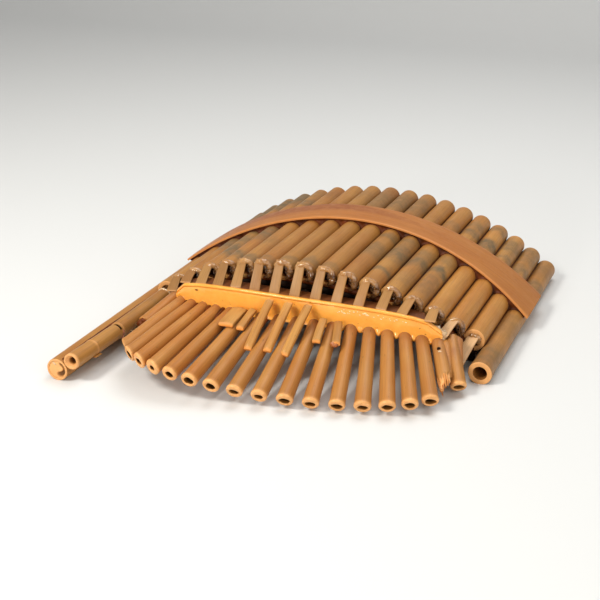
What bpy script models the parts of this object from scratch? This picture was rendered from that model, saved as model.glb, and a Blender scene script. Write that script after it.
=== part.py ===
"""Bamboo pan pipe with one blow tube for each pipe, at real size.

Metres, +Z up, +X to the player's right, +Y along the pipes and away from the player's mouth.
Nineteen bamboo pipes lie side by side on a shallow arch and stand on the two outermost ones.
A bent band holds them from above. In front of their mouths a curved header bar, faced with cast
resin, carries the blow tubes, and a thin tongue leads from the header bar to each sounding mouth.
"""

import math

import bmesh
import bpy
from mathutils import Matrix, Vector

# Pan pipes: number, spacing and section.
PIPE_COUNT = 19
PITCH = 0.016
GAP = 0.0003
PIPE_RADIUS = (PITCH - GAP) / 2
PIPE_BORE_RADIUS = 0.0045
PIPE_NODE_THICKNESS = 0.005
PIPE_CHAMFER = 0.0005
PIPE_SIDES = 16

# The arch on which the pipes lie, seen from the front.
ARCH_RADIUS = 0.2055
ARCH_STEP = 2 * math.asin(PITCH / 2 / ARCH_RADIUS)
MIDDLE = (PIPE_COUNT - 1) / 2
HALF_ARCH = MIDDLE * ARCH_STEP
REST_HEIGHT = PIPE_RADIUS * math.cos(math.pi / PIPE_SIDES)
ARCH_CENTRE_Z = REST_HEIGHT - ARCH_RADIUS * math.cos(HALF_ARCH)

# Where the pipes begin and end along Y. Both edges bow backwards towards the sides.
MOUTH_Y = -0.0411
MOUTH_BOW = 0.0213
MOUTH_SET_BACK = {2: 0.002, 3: 0.0035, 4: 0.0045, 5: 0.0040, 6: 0.0030}
BACK_Y = 0.1523
BACK_BOW = 0.0054
FIRST_PIPE_MOUTH_Y = -0.1577
LAST_PIPE_MOUTH_Y = -0.0546

# The first pipe is a thin-walled drone with a plug in its mouth.
DRONE_BORE_RADIUS = 0.0062
DRONE_PLUG_LENGTH = 0.012
DRONE_PLUG_SET_BACK = 0.0006
DRONE_PLUG_FLAT = 0.0030
DRONE_PLUG_FLAT_ANGLE = math.radians(-30)

# Blow tubes: section, and smooth rows of roots and tips through a few key tubes (0 is the first).
TUBE_COUNT = 19
TUBE_SIDES = 12
TUBE_TIP_RADIUS = 0.0056
TUBE_ROOT_RADIUS = 0.0045
TUBE_BORE_RADIUS = 0.0031
TUBE_LIP = 0.0010
TUBE_TAIL = 0.0080
ROOT_KEYS = {
    0: Vector((-0.1020, -0.0473, 0.0228)),
    6: Vector((-0.0368, -0.0608, 0.0251)),
    12: Vector((0.0422, -0.0592, 0.0261)),
    18: Vector((0.1114, -0.0471, 0.0203)),
}
TIP_KEYS = {
    0: Vector((-0.1067, -0.1101, 0.0141)),
    4: Vector((-0.0610, -0.1549, 0.0208)),
    9: Vector((0.0101, -0.1445, 0.0083)),
    14: Vector((0.0910, -0.1250, 0.0073)),
    18: Vector((0.1246, -0.0779, 0.0060)),
}
BROKEN_SHARE = {0: 0.62, 1: 0.95, 17: 0.92}

# Resin bar and header bar, whose common top edge is level with rounded ends.
BAR_TOP_Z = 0.0448
BAR_SAG = 0.31
BAR_MIDDLE_X = 0.0027
BAR_HALF_LENGTH = 0.1022
BAR_END_DROP = 0.0148
BAR_END_POWER = 3.5
RESIN_DEPTH = 0.0035
RESIN_RIM_RADIUS = 0.0010
RESIN_FROM = 0.3
RESIN_TO = 17.3
HEADER_TOP_DROP = 0.0010
HEADER_BACK_GAP = 0.0040
HEADER_FROM = 0.7
HEADER_TO = 16.3
HEADER_HALF_LENGTH = 0.0950
BAR_CLEARANCE = 0.0009

# Tongues between the header bar and the mouths.
TONGUE_PIPES = range(2, 18)
TONGUE_REACH = 0.0144
TONGUE_THICKNESS = 0.0012
TONGUE_TOP_WIDTH = 0.0052
TONGUE_FOOT_WIDTH = 0.0072
TONGUE_TOP_HEIGHT = 0.0056
TONGUE_TOP_SHIFT = -0.0019
TONGUE_FOOT_SCALE = 0.97
TONGUE_FOOT_SHIFT = -0.0013
TONGUE_LOW_FOOT_Z = 0.0284
SPLAYED_TONGUE = 15
SPLAYED_TONGUE_SHIFT = Vector((0.0040, -0.0030, 0))
LAST_TONGUE_REACH = 0.0215
LAST_TONGUE_TOP_HEIGHT = 0.0015
LAST_TONGUE_FOOT = Vector((0.1146, 0, 0.0090))

# Band over the pipes: its radii from the arch centre, edges along Y, and its ends.
BAND_INNER = ARCH_RADIUS + PIPE_RADIUS + GAP
BAND_THICKNESS = 0.0017
BAND_BED = 0.0011
BAND_BED_INSET = 0.0030
BAND_LEFT_END = math.radians(-37.1)
BAND_RIGHT_END = math.radians(41.6)
BAND_FRONT = (0.0537, 0.0080, -0.0195)
BAND_BACK = (0.0883, 0.0029, -0.0029)
BAND_STATIONS = 28

# Whistle laid along the first pipe, in two lengths with a window between them.
WHISTLE_FRONT = Vector((-0.1210, -0.1577, 0.0156))
WHISTLE_WINDOW = Vector((-0.1201, -0.0925, 0.0143))
WHISTLE_BACK = Vector((-0.1197, -0.0288, 0.0150))
WHISTLE_WINDOW_GAP = 0.0008
WHISTLE_FRONT_RADIUS = 0.0057
WHISTLE_BODY_RADIUS = 0.0060
WHISTLE_BORE_RADIUS = 0.0022
WHISTLE_FUNNEL_RADIUS = 0.0040
WHISTLE_FUNNEL_DEPTH = 0.0020

# Colours as linear red, green, blue, with a roughness.
BAMBOO = ((0.47, 0.26, 0.11), 0.45)
GREY_BAMBOO = ((0.30, 0.23, 0.13), 0.50)
TUBE_BAMBOO = ((0.60, 0.31, 0.11), 0.40)
BAND_CANE = ((0.55, 0.24, 0.08), 0.45)
CAST_RESIN = ((0.95, 0.42, 0.07), 0.15)
BROWN_WOOD = ((0.25, 0.12, 0.05), 0.40)
PALE_REED = ((0.50, 0.34, 0.20), 0.45)
GREY_PIPES = (3, 4, 5, 11, 12, 13, 14, 18)

SMOOTH_ANGLE = math.radians(40)

# Shifts everything from the arch's middle to the middle of the whole object's box.
CENTRING = (-0.0017, 0, 0)


def clear_scene():
    for old in list(bpy.data.objects):
        bpy.data.objects.remove(old, do_unlink=True)


def add_base():
    """The empty that carries every piece."""
    base = bpy.data.objects.new("base", None)
    base.location = CENTRING
    bpy.context.scene.collection.objects.link(base)


def make_material(name, finish):
    colour, roughness = finish
    material = bpy.data.materials.new(name)
    material.use_nodes = True
    shader = material.node_tree.nodes["Principled BSDF"]
    shader.inputs["Base Color"].default_value = (*colour, 1)
    shader.inputs["Roughness"].default_value = roughness
    shader.inputs["Metallic"].default_value = 0
    material.diffuse_color = (*colour, 1)
    return material


def add_object(name, bm, finish, matrix=None):
    """A named object from the bmesh, with its own material, placed by the matrix on the base."""
    bmesh.ops.recalc_face_normals(bm, faces=bm.faces)
    mesh = bpy.data.meshes.new(name)
    bm.to_mesh(mesh)
    bm.free()
    mesh.shade_smooth()
    mesh.set_sharp_from_angle(angle=SMOOTH_ANGLE)
    mesh.materials.append(make_material(name + "_material", finish))
    thing = bpy.data.objects.new(name, mesh)
    bpy.context.scene.collection.objects.link(thing)
    if matrix:
        thing.matrix_local = matrix
    thing.parent = bpy.data.objects["base"]
    return thing


def turned(profile, sides, through):
    """A body turned about the local Y axis from (y, radius) points.

    A through body's profile is a closed loop. Otherwise its first and last rings are capped.
    """
    bm = bmesh.new()
    rings = []
    for y, radius in profile:
        ring = []
        for side in range(sides):
            angle = (side + 0.5) / sides * math.tau
            ring.append(bm.verts.new((radius * math.sin(angle), y, radius * math.cos(angle))))
        rings.append(ring)
    pairs = list(zip(rings, rings[1:]))
    if through:
        pairs.append((rings[-1], rings[0]))
    else:
        bm.faces.new(rings[0])
        bm.faces.new(rings[-1])
    for near, far in pairs:
        for side in range(sides):
            after = (side + 1) % sides
            bm.faces.new((near[side], near[after], far[after], far[side]))
    return bm


def lofted(sections):
    """A closed body through equal-length sections, each a list of corner points."""
    bm = bmesh.new()
    rings = [[bm.verts.new(corner) for corner in section] for section in sections]
    bm.faces.new(rings[0])
    bm.faces.new(rings[-1])
    for near, far in zip(rings, rings[1:]):
        for corner in range(len(near)):
            after = (corner + 1) % len(near)
            bm.faces.new((near[corner], near[after], far[after], far[corner]))
    return bm


def aimed(start, end):
    """A matrix that puts local +Y along the line from start to end."""
    turn = (end - start).to_track_quat("Y", "Z")
    return Matrix.Translation(start) @ turn.to_matrix().to_4x4()


def through_keys(keys, at):
    """The polynomial curve through the key points, at any place along the row."""
    total = Vector((0, 0, 0))
    for place, point in keys.items():
        weight = 1.0
        for other in keys:
            if other != place:
                weight *= (at - other) / (place - other)
        total += weight * point
    return total


def spread(angle):
    """0 on the middle pipe and -1 or 1 on the outermost pipes."""
    return angle / HALF_ARCH


def pipe_axis(index):
    angle = (index - MIDDLE) * ARCH_STEP
    x = ARCH_RADIUS * math.sin(angle)
    z = ARCH_CENTRE_Z + ARCH_RADIUS * math.cos(angle)
    return x, z


def pipe_mouth_y(index):
    if index == 0:
        return FIRST_PIPE_MOUTH_Y
    if index == PIPE_COUNT - 1:
        return LAST_PIPE_MOUTH_Y
    return mouth_curve_y(pipe_axis(index)[0]) + MOUTH_SET_BACK.get(index, 0)


def pipe_back_y(index):
    return BACK_Y + BACK_BOW * spread((index - MIDDLE) * ARCH_STEP) ** 2


def mouth_curve_y(x):
    """Where the row of mouths lies in Y, for any x under the arch."""
    return MOUTH_Y + MOUTH_BOW * spread(math.asin(x / ARCH_RADIUS)) ** 2


def add_pan_pipes():
    for index in range(PIPE_COUNT):
        x, z = pipe_axis(index)
        mouth = pipe_mouth_y(index)
        length = pipe_back_y(index) - mouth
        bore = DRONE_BORE_RADIUS if index == 0 else PIPE_BORE_RADIUS
        profile = [
            (length, PIPE_RADIUS - PIPE_CHAMFER),
            (length - PIPE_CHAMFER, PIPE_RADIUS),
            (PIPE_CHAMFER, PIPE_RADIUS),
            (0, PIPE_RADIUS - PIPE_CHAMFER),
            (0, bore),
            (length - PIPE_NODE_THICKNESS, bore),
        ]
        finish = GREY_BAMBOO if index in GREY_PIPES else BAMBOO
        place = Matrix.Translation((x, mouth, z))
        add_object(f"pan_pipe_{index + 1:02d}", turned(profile, PIPE_SIDES, False), finish, place)


def add_drone_plug():
    """A round plug with one side cut flat, which leaves a windway in the drone's mouth."""
    x, z = pipe_axis(0)
    radius = DRONE_BORE_RADIUS * math.cos(math.pi / PIPE_SIDES) - GAP
    half = math.acos(DRONE_PLUG_FLAT / radius)
    outline = []
    steps = 14
    for step in range(steps + 1):
        angle = DRONE_PLUG_FLAT_ANGLE + half + (math.tau - 2 * half) * step / steps
        outline.append((radius * math.cos(angle), radius * math.sin(angle)))
    front = FIRST_PIPE_MOUTH_Y + DRONE_PLUG_SET_BACK
    sections = []
    for y in (front, front + DRONE_PLUG_LENGTH):
        sections.append([(x + across, y, z + up) for across, up in outline])
    add_object("drone_plug", lofted(sections), PALE_REED)


def tube_root(at):
    return through_keys(ROOT_KEYS, at)


def tube_tip(at):
    """The tip of a tube, nearer its root where the tube is broken short."""
    root = tube_root(at)
    return root + BROKEN_SHARE.get(at, 1.0) * (through_keys(TIP_KEYS, at) - root)


def tube_slope(at):
    """How far x and z change for each metre that a tube runs back along Y."""
    run = tube_root(at) - through_keys(TIP_KEYS, at)
    return run.x / run.y, run.z / run.y


def add_blow_tubes():
    for index in range(TUBE_COUNT):
        root = tube_root(index)
        tip = tube_tip(index)
        length = (root - tip).length
        profile = [
            (0, TUBE_TIP_RADIUS - TUBE_LIP),
            (TUBE_LIP, TUBE_TIP_RADIUS),
            (3 * TUBE_LIP, TUBE_TIP_RADIUS),
            (length, TUBE_ROOT_RADIUS),
            (length + TUBE_TAIL, TUBE_ROOT_RADIUS),
            (length + TUBE_TAIL, TUBE_BORE_RADIUS),
            (0, TUBE_BORE_RADIUS),
        ]
        tube = turned(profile, TUBE_SIDES, True)
        add_object(f"blow_tube_{index + 1:02d}", tube, TUBE_BAMBOO, aimed(tip, root))


def bar_top_z(x):
    """The level top edge of both bars, rounded off at its two ends."""
    share = min(abs(x - BAR_MIDDLE_X) / BAR_HALF_LENGTH, 1.0)
    rounded = (1 - share**BAR_END_POWER) ** (1 / BAR_END_POWER)
    return BAR_TOP_Z - BAR_SAG * x**2 - BAR_END_DROP * (1 - rounded)


def bar_point(at, depth, height):
    """A point over blow tube number at, so far behind the resin's face and at this height."""
    root = tube_root(at)
    across, _ = tube_slope(at)
    return Vector((root.x + across * depth, root.y + depth, height))


def bar_bottom(at, depth):
    """Just above the blow tube number at, at this depth behind the resin's face."""
    _, rise = tube_slope(at)
    above = TUBE_ROOT_RADIUS * math.hypot(1, rise) + BAR_CLEARANCE
    return bar_point(at, depth, tube_root(at).z + rise * depth + above)


def stations(first, last, count):
    return [first + (last - first) * step / (count - 1) for step in range(count)]


def add_resin_bar():
    sections = []
    for at in stations(RESIN_FROM, RESIN_TO, PIPE_COUNT):
        top = bar_top_z(tube_root(at).x)
        rim = RESIN_RIM_RADIUS
        sections.append(
            [
                bar_bottom(at, 0),
                bar_point(at, 0, top - rim),
                bar_point(at, rim, top),
                bar_point(at, RESIN_DEPTH - rim, top),
                bar_point(at, RESIN_DEPTH, top - rim),
                bar_bottom(at, RESIN_DEPTH),
            ]
        )
    add_object("resin_bar", lofted(sections), CAST_RESIN)


def header_back_depth(at):
    """How far behind the resin's face the header bar ends, just short of the mouths."""
    root = tube_root(at)
    return mouth_curve_y(root.x) - HEADER_BACK_GAP - root.y


def add_header_bar():
    sections = []
    for at in stations(HEADER_FROM, HEADER_TO, PIPE_COUNT):
        front = RESIN_DEPTH + GAP
        back = header_back_depth(at)
        top = bar_top_z(tube_root(at).x) - HEADER_TOP_DROP
        sections.append(
            [
                bar_bottom(at, front),
                bar_point(at, front, top),
                bar_point(at, back, top),
                bar_bottom(at, back),
            ]
        )
    add_object("header_bar", lofted(sections), BROWN_WOOD)


def slab_end(centre, width, thickness, fall):
    """Four corners of a tongue's end, its thickness square to the direction (0, -1, fall)."""
    lean = Vector((0, fall, 1)).normalized() * thickness
    side = Vector((width / 2, 0, 0))
    return [centre - side, centre + side, centre + side + lean, centre - side + lean]


def tongue_ends(index):
    """The under-side middle points of a tongue at its pipe's mouth and at its foot."""
    x, z = pipe_axis(index)
    mouth = pipe_mouth_y(index)
    top = Vector((x + TONGUE_TOP_SHIFT, mouth - GAP - TONGUE_THICKNESS, z + TONGUE_TOP_HEIGHT))
    if index == PIPE_COUNT - 2:
        foot = LAST_TONGUE_FOOT.copy()
        foot.y = mouth - LAST_TONGUE_REACH
        top.z = z + LAST_TONGUE_TOP_HEIGHT
        return top, foot
    foot = Vector((x * TONGUE_FOOT_SCALE + TONGUE_FOOT_SHIFT, mouth_curve_y(x) - TONGUE_REACH, 0))
    if index == SPLAYED_TONGUE:
        foot += SPLAYED_TONGUE_SHIFT
    half = TONGUE_FOOT_WIDTH / 2
    if abs(foot.x) > HEADER_HALF_LENGTH:
        foot.z = TONGUE_LOW_FOOT_Z
    else:
        highest = max(bar_top_z(foot.x - half), bar_top_z(foot.x + half))
        foot.z = highest - HEADER_TOP_DROP + GAP
    return top, foot


def add_tongues():
    for index in TONGUE_PIPES:
        top, foot = tongue_ends(index)
        fall = (foot.z - top.z) / (top.y - foot.y)
        ends = [
            slab_end(foot, TONGUE_FOOT_WIDTH, TONGUE_THICKNESS, fall),
            slab_end(top, TONGUE_TOP_WIDTH, TONGUE_THICKNESS, fall),
        ]
        add_object(f"air_tongue_{index + 1:02d}", lofted(ends), PALE_REED)


def add_cross_band():
    """The bent band with the narrower bed of resin that glues it to the pipes' crests."""
    plate_inner = BAND_INNER + BAND_BED
    plate_outer = plate_inner + BAND_THICKNESS
    outline = (
        (BAND_INNER, BAND_FRONT, BAND_BED_INSET),
        (plate_inner, BAND_FRONT, BAND_BED_INSET),
        (plate_inner, BAND_FRONT, 0),
        (plate_outer, BAND_FRONT, 0),
        (plate_outer, BAND_BACK, 0),
        (plate_inner, BAND_BACK, 0),
        (plate_inner, BAND_BACK, -BAND_BED_INSET),
        (BAND_INNER, BAND_BACK, -BAND_BED_INSET),
    )
    sections = []
    for angle in stations(BAND_LEFT_END, BAND_RIGHT_END, BAND_STATIONS):
        along = spread(angle)
        corners = []
        for radius, edge, inset in outline:
            y = edge[0] + edge[1] * along + edge[2] * along**2 + inset
            z = ARCH_CENTRE_Z + radius * math.cos(angle)
            corners.append((radius * math.sin(angle), y, z))
        sections.append(corners)
    add_object("cross_band", lofted(sections), BAND_CANE)


def add_whistle():
    front_length = (WHISTLE_WINDOW - WHISTLE_FRONT).length - WHISTLE_WINDOW_GAP
    mouth_tube = turned(
        [
            (front_length, WHISTLE_FRONT_RADIUS),
            (PIPE_CHAMFER, WHISTLE_FRONT_RADIUS),
            (0, WHISTLE_FRONT_RADIUS - PIPE_CHAMFER),
            (0, WHISTLE_FUNNEL_RADIUS),
            (WHISTLE_FUNNEL_DEPTH, WHISTLE_BORE_RADIUS),
            (front_length, WHISTLE_BORE_RADIUS),
        ],
        TUBE_SIDES,
        True,
    )
    place = aimed(WHISTLE_FRONT, WHISTLE_WINDOW)
    add_object("whistle_mouth_tube", mouth_tube, BAMBOO, place)
    body_length = (WHISTLE_BACK - WHISTLE_WINDOW).length
    body_tube = turned(
        [
            (0, WHISTLE_BODY_RADIUS),
            (body_length, WHISTLE_BODY_RADIUS),
            (body_length, WHISTLE_FUNNEL_RADIUS),
            (0, WHISTLE_FUNNEL_RADIUS),
        ],
        TUBE_SIDES,
        True,
    )
    add_object("whistle_body_tube", body_tube, BAMBOO, aimed(WHISTLE_WINDOW, WHISTLE_BACK))


clear_scene()
add_base()
add_pan_pipes()
add_drone_plug()
add_blow_tubes()
add_resin_bar()
add_header_bar()
add_tongues()
add_cross_band()
add_whistle()
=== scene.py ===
"""Looks of the bamboo pan pipes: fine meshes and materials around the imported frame.

Metres, in the frame of the CAD part: +Z up, +Y along the pipes, +X to the player's right.
Every cane is modelled in its own axes, with local +Y along it, so that its fibres follow it.
"""

import math

import bpy
import numpy as np
from mathutils import Matrix, Vector, noise
from mathutils.bvhtree import BVHTree


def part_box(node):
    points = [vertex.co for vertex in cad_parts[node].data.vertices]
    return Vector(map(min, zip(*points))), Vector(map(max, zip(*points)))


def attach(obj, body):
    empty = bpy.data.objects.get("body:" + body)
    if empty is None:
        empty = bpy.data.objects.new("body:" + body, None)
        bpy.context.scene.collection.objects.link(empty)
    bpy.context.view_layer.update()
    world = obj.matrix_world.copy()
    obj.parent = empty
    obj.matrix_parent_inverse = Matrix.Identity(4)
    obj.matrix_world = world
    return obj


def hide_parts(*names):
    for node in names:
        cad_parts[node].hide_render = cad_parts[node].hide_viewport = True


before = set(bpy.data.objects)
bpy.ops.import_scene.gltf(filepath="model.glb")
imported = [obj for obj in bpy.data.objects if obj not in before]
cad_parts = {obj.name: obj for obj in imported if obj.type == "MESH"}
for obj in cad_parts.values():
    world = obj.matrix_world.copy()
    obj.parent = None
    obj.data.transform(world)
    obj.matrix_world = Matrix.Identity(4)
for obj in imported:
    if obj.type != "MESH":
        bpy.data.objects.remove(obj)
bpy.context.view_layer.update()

MM = 0.001

# The row of pan pipes.
PIPE_COUNT = 19
PIPE_NAMES = [f"pan_pipe_{number:02d}" for number in range(1, PIPE_COUNT + 1)]
CAD_PIPE_SIDES = 16
PIPE_SIDES = 56
PIPE_BORE = 4.6 * MM
DRONE_BORE = 6.3 * MM
PIPE_RING_SPACING = 2.2 * MM
CANE_RING_SPACING = 2.0 * MM
LAST_PIPE_FLARE = 0.45 * MM
PIPE_LIP = 0.7 * MM
# The pipes lean outward from a line this far under the floor.
LEAN_CENTRE = 150 * MM
SEAM_POINTS = 46

# The fan of blow tubes.
TUBE_COUNT = 19
TUBE_SIDES = 44
TUBE_BORE = 3.1 * MM
TUBE_TIP_RADIUS = 5.6 * MM
TUBE_ROOT_RADIUS = 4.5 * MM
TUBE_TAIL = 8.0 * MM
SPLINTERED_TUBE = 17

TONGUE_NUMBERS = range(3, 19)
LAST_TONGUE = TONGUE_NUMBERS[-1]

# How finely pieces are meshed.
SLAB_ROWS = 22
SLAB_SIDES = 28
SLAB_SQUARENESS = 6
BEAD_POINTS = 28
SHARP_ANGLE = math.radians(48)


# ---------------------------------------------------------------- small helpers


def srgb(red, green, blue):
    """A linear colour from red, green and blue out of 255."""
    linear = []
    for part in (red, green, blue):
        share = part / 255
        linear.append(share / 12.92 if share <= 0.04045 else ((share + 0.055) / 1.055) ** 2.4)
    return (*linear, 1)


def smooth(low, high, value):
    """0 below low, 1 above high, and a smooth step between them, for numbers and arrays."""
    share = np.clip((value - low) / (high - low), 0, 1)
    return share * share * (3 - 2 * share)


def cloud(points, scale, seed):
    """Smooth noise between -1 and 1 at an array of points, with features of about 1 / scale."""
    offset = Vector((seed * 13.7, seed * 7.3, seed * 3.1))
    flat = np.asarray(points).reshape(-1, 3)
    values = [noise.noise(Vector(point) * scale + offset) for point in flat]
    return np.array(values).reshape(np.asarray(points).shape[:-1])


def tapered(count, low, high):
    """1 along a line of this many points, with a fall from high to low points off its ends."""
    steps = np.arange(count)
    return smooth(low, high, np.minimum(steps, steps[::-1]))


def frame_points(node):
    """The different corners of a CAD node."""
    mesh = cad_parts[node].data
    points = np.empty(len(mesh.vertices) * 3)
    mesh.vertices.foreach_get("co", points)
    return np.unique(np.round(points.reshape(-1, 3), 6), axis=0)


def cane_line(node):
    """The two ends of a round node's axis, the end nearer to the player first."""
    points = frame_points(node)
    middle = points.mean(axis=0)
    _, _, directions = np.linalg.svd(points - middle, full_matrices=False)
    along = directions[0] * np.sign(directions[0][1])
    reach = (points - middle) @ along
    return Vector(middle + along * reach.min()), Vector(middle + along * reach.max())


def at_depth(line, y):
    """The point of a straight line at this y."""
    start, end = line
    return start + (end - start) * ((y - start.y) / (end.y - start.y))


def aimed(start, end):
    """A matrix that puts local +Y along the line from start to end, and local +Z near up."""
    turn = (end - start).to_track_quat("Y", "Z")
    return Matrix.Translation(start) @ turn.to_matrix().to_4x4()


def spots(points, base=Vector()):
    """Points from millimetres, measured from a base."""
    return [base + Vector(point) * MM for point in points]


def finer(points, count):
    """This many points spread along straight lines through a few."""
    points = np.asarray(points, dtype=float)
    along = np.linspace(0, len(points) - 1, count)
    given = np.arange(len(points))
    return np.stack([np.interp(along, given, points[:, at]) for at in range(3)]).T


def arc(centre, reach, first, last, count):
    """Points round an axis along Y, their angles in degrees from up toward the right."""
    x, y, z = centre
    turn = np.radians(np.linspace(first, last, count))
    across = [x + reach * np.sin(turn), np.full(count, y), z + reach * np.cos(turn)]
    return np.stack(across, axis=1)


def surface_tree(node):
    """A tree of the node's faces, to cast rays at."""
    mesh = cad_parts[node].data
    points = [vertex.co.copy() for vertex in mesh.vertices]
    return BVHTree.FromPolygons(points, [tuple(face.vertices) for face in mesh.polygons])


# ---------------------------------------------------------------- meshes


def skin(
    name, grid, material, slot,
    matrix=None, looped=False, grain=None, replaces=(), seed=0.0, **paint,
):
    """A piece through rows of points, each row a closed loop, with painted vertex values.

    Its ends are capped, or a looped piece's last row joins its first. grain holds the points at
    which the material reads its noise: their second number runs along the fibres.
    """
    rows, columns = grid.shape[:2]
    points = grid.reshape(-1, 3)
    steps = rows if looped else rows - 1
    row, column = np.meshgrid(np.arange(steps), np.arange(columns), indexing="ij")
    after = (column + 1) % columns
    below = (row + 1) % rows
    corners = [row * columns + column, row * columns + after]
    corners += [below * columns + after, below * columns + column]
    faces = np.stack(corners, axis=-1).reshape(-1, 4).tolist()
    if not looped:
        faces.append(list(range(columns))[::-1])
        faces.append(list(range((rows - 1) * columns, rows * columns)))
    mesh = bpy.data.meshes.new(name)
    mesh.from_pydata(points.tolist(), [], faces)
    layer = mesh.attributes.new("grain", "FLOAT_VECTOR", "POINT")
    fibres = (grid if grain is None else grain) + np.array([0.31, 0.17, 0.23]) * seed
    layer.data.foreach_set("vector", fibres.astype(np.float32).reshape(-1))
    for key, values in {"tone": 1.0, **paint}.items():
        layer = mesh.attributes.new(key, "FLOAT", "POINT")
        spread = np.broadcast_to(np.asarray(values, dtype=np.float32), (rows, columns))
        layer.data.foreach_set("value", np.ascontiguousarray(spread.reshape(-1)))
    mesh.validate()
    mesh.shade_smooth()
    mesh.set_sharp_from_angle(angle=SHARP_ANGLE)
    mesh.materials.append(material)
    piece = bpy.data.objects.new(name, mesh)
    bpy.context.scene.collection.objects.link(piece)
    if matrix is not None:
        piece.matrix_world = matrix
    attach(piece, "root")
    if replaces:
        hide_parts(*replaces)


def rounding(y, radius, size, first, last, steps=4):
    """Profile points round an edge: an arc of this size about (y, radius), angles in degrees."""
    points = []
    for angle in np.radians(np.linspace(first, last, steps + 1)):
        points.append((y + size * math.cos(angle), radius + size * math.sin(angle)))
    return points


def rings(stretches, spacing):
    """Arrays of y, radius, cut and inside along (surface, points) stretches of a profile."""
    found = []
    previous = None
    for surface, points in stretches:
        for point in points:
            if previous is not None:
                gap = math.dist(previous, point)
                for step in range(1, math.ceil(gap / spacing)):
                    share = step / math.ceil(gap / spacing)
                    between = [a + (b - a) * share for a, b in zip(previous, point)]
                    found.append((*between, surface == "cut", surface == "inside"))
            found.append((*point, surface == "cut", surface == "inside"))
            previous = point
    return np.array(found, dtype=float).T


def turned(y, radius, sides):
    """A grid of points turned about local Y, and the angle of each column from local +Z."""
    angle = np.arange(sides) / sides * math.tau
    grid = np.empty((len(y), sides, 3))
    grid[:, :, 0] = radius[:, None] * np.sin(angle)
    grid[:, :, 1] = y[:, None]
    grid[:, :, 2] = radius[:, None] * np.cos(angle)
    return grid, angle


def widen(grid, share):
    """Moves a turned grid's points away from its axis to this share of their distance."""
    grid[:, :, [0, 2]] *= np.broadcast_to(share, grid.shape[:2])[:, :, None]


def roughen(grid, radius, seed, oval=0.008, lumps=0.05 * MM, scale=90):
    """Makes a turned grid slightly oval and uneven, as a grown cane is."""
    angle = np.arctan2(grid[:, :, 0], grid[:, :, 2])
    swell = 1 + oval * np.cos(2 * angle + seed * 2.1)
    stretched = grid * np.array([1, 0.25, 1])
    widen(grid, swell + lumps * cloud(stretched, scale, seed) / np.maximum(radius[:, None], MM))


def strand(
    name, points, radii, material, slot="cast_resin",
    sides=12, flat=1.0, bumps=0.0, seed=1, **paint,
):
    """A round bead along a line of points, thinner along Z by flat and lumpy by bumps."""
    line = np.array([tuple(point) for point in points], dtype=float)
    tangents = np.gradient(line, axis=0)
    tangents /= np.linalg.norm(tangents, axis=1)[:, None]
    side = np.cross(tangents, (0, 0, 1.0))
    weak = np.linalg.norm(side, axis=1) < 0.2
    side[weak] = np.cross(tangents[weak], (0, 1.0, 0))
    side /= np.linalg.norm(side, axis=1)[:, None]
    over = np.cross(side, tangents)
    angle = np.arange(sides) / sides * math.tau
    radii = np.broadcast_to(np.asarray(radii, dtype=float), len(line))
    ring = side[:, None] * np.cos(angle)[None, :, None]
    ring = ring + flat * over[:, None] * np.sin(angle)[None, :, None]
    grid = line[:, None] + ring * radii[:, None, None]
    if bumps:
        grid = grid + ring * (bumps * cloud(grid, 700, seed))[:, :, None]
    skin(name, grid, material, slot, seed=seed, **paint)


def slab(
    name, start, end, widths, thicknesses, material, slot,
    bend=0.0, ridge=0.0, lumps=0.08 * MM, seed=1, replaces=(), **paint,
):
    """A rounded flat strip from start to end, which are on the middle of its under side."""
    length = (end - start).length
    shares = np.linspace(0, 1, SLAB_ROWS)
    edge = np.minimum(shares, 1 - shares) * length
    width = np.interp(shares, (0, 1), widths)
    thick = np.interp(shares, (0, 1), thicknesses)
    tip = np.sqrt(np.clip(edge / (0.5 * MM), 0.15, 1))
    angle = np.arange(SLAB_SIDES) / SLAB_SIDES * math.tau
    across = np.sign(np.cos(angle)) * np.abs(np.cos(angle)) ** (2 / SLAB_SQUARENESS)
    high = np.sign(np.sin(angle)) * np.abs(np.sin(angle)) ** (2 / SLAB_SQUARENESS)
    grid = np.empty((SLAB_ROWS, SLAB_SIDES, 3))
    grid[:, :, 0] = (width * (0.9 + 0.1 * tip) / 2)[:, None] * across
    grid[:, :, 1] = (shares * length)[:, None]
    grid[:, :, 2] = (thick / 2)[:, None] * (1 + tip[:, None] * high)
    grid[:, :, 2] += (bend * np.sin(shares * math.pi))[:, None]
    grid[:, :, 2] += ridge * tip[:, None] * (1 - np.abs(across)) * np.maximum(high, 0)
    grid[:, :, 2] += lumps * cloud(grid * np.array([1, 0.2, 1]), 500, seed)
    grid[:, :, 0] += lumps * cloud(grid * np.array([1, 0.3, 1]), 260, seed + 5)
    cut = smooth(0.6 * MM, 0.1 * MM, edge)[:, None]
    place = aimed(start, end)
    skin(name, grid, material, slot, matrix=place, replaces=replaces, seed=seed, cut=cut, **paint)


# ---------------------------------------------------------------- materials


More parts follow.
